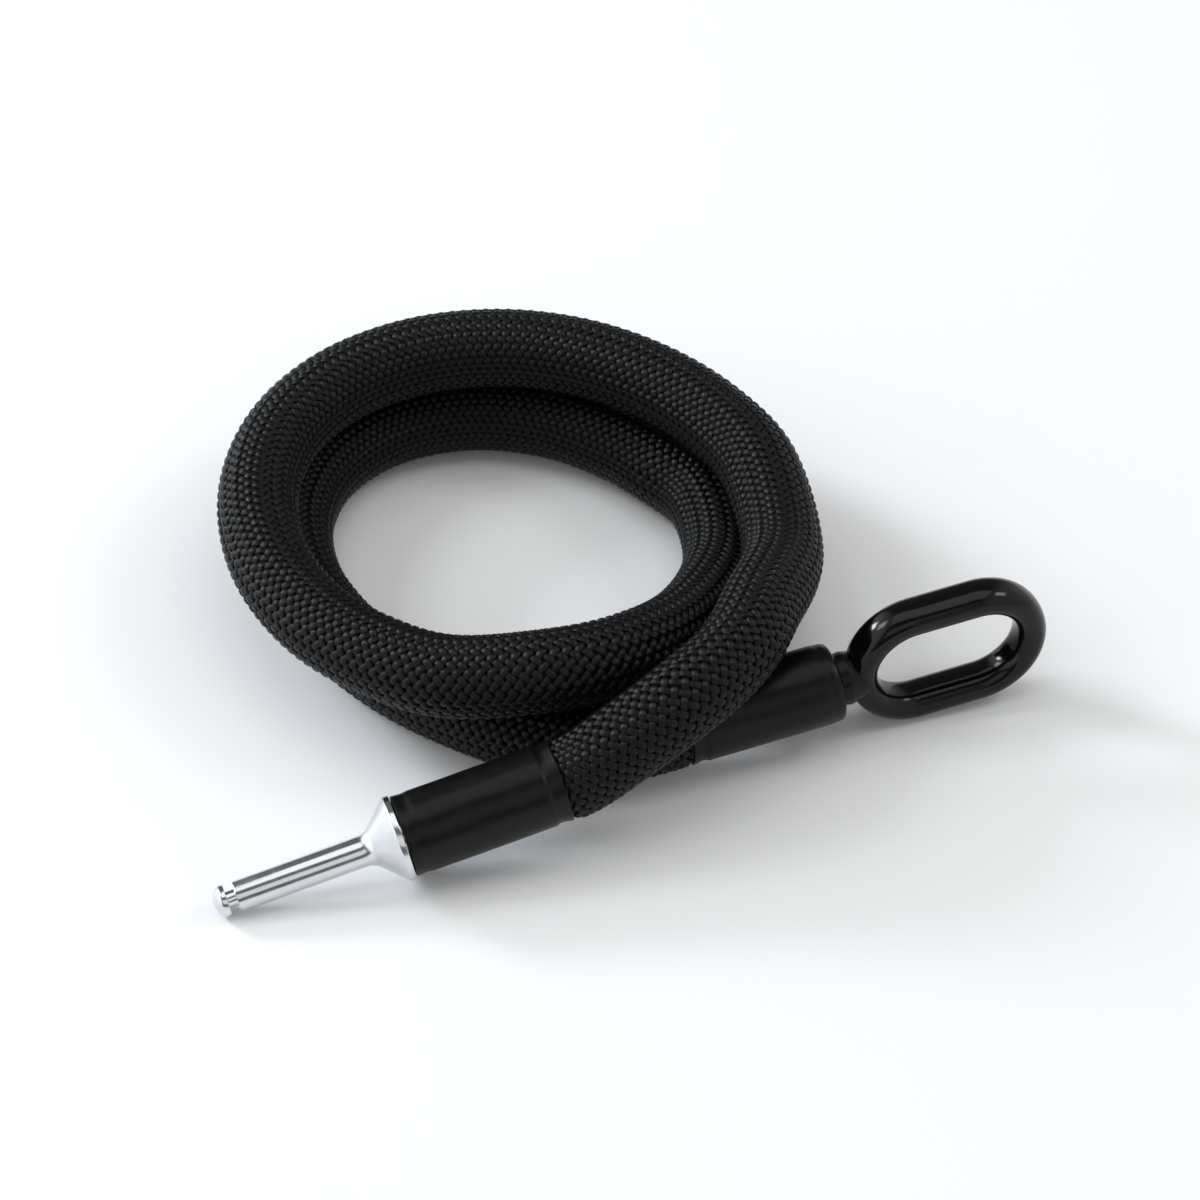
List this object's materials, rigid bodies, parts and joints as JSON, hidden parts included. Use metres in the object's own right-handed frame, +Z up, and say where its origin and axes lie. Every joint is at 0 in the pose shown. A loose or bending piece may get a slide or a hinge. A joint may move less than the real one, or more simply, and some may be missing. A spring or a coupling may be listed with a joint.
{
  "type": "plug-in lock cable",
  "caption": "Textile-sleeved security cable lying in a loose coil, with a swivelling grooved lock pin on one end and a coated oval eye on the other.",
  "frame": {"origin": "on the table, under the middle of the box round both end fittings", "axes": "+X along the longest extent of the end fittings, from the pin's side towards the eye's side; +Y towards the coil; +Z up"},
  "size_m": [0.2509, 0.2251, 0.0552],
  "materials": {
    "zinc": "bright zinc plating on turned steel",
    "steel": "plain steel",
    "bronze": "sintered bronze",
    "shrink": "satin black heat-shrink tube",
    "gloss": "thick glossy black dip coating",
    "textile": "black braided textile",
    "fibre": "natural cut-resistant fibre",
    "aramid": "yellow flame-resistant fibre",
    "thread": "black binding thread"
  },
  "bodies": {
    "cable": {"swivel_bush": "bronze", "pin_crimp_ferrule": "steel", "pin_core_stop": "steel", "pin_sleeve_binding": "thread", "pin_cover": "shrink", "eye_link": "steel", "eye_coating": "gloss", "eye_neck_boot": "shrink", "eye_end_plug": "steel", "eye_washer": "steel", "eye_nut": "steel", "eye_crimp_ferrule": "steel", "eye_core_stop": "steel", "eye_sleeve_binding": "thread", "eye_cover": "shrink", "steel_core": "steel", "flame_resistant_layer": "aramid", "cut_resistant_layer": "fibre", "braided_sleeve": "textile"},
    "pin": {"lock_pin": "zinc", "retaining_ring": "steel", "thrust_washer": "bronze"}
  },
  "joints": [
    {"name": "pin_swivel", "type": "hinge", "parent": "cable", "child": "pin", "pos_m": [-0.0701, -0.0332, 0.01481], "axis": [0.9387, 0.287, 0.1908], "continuous": true}
  ]
}
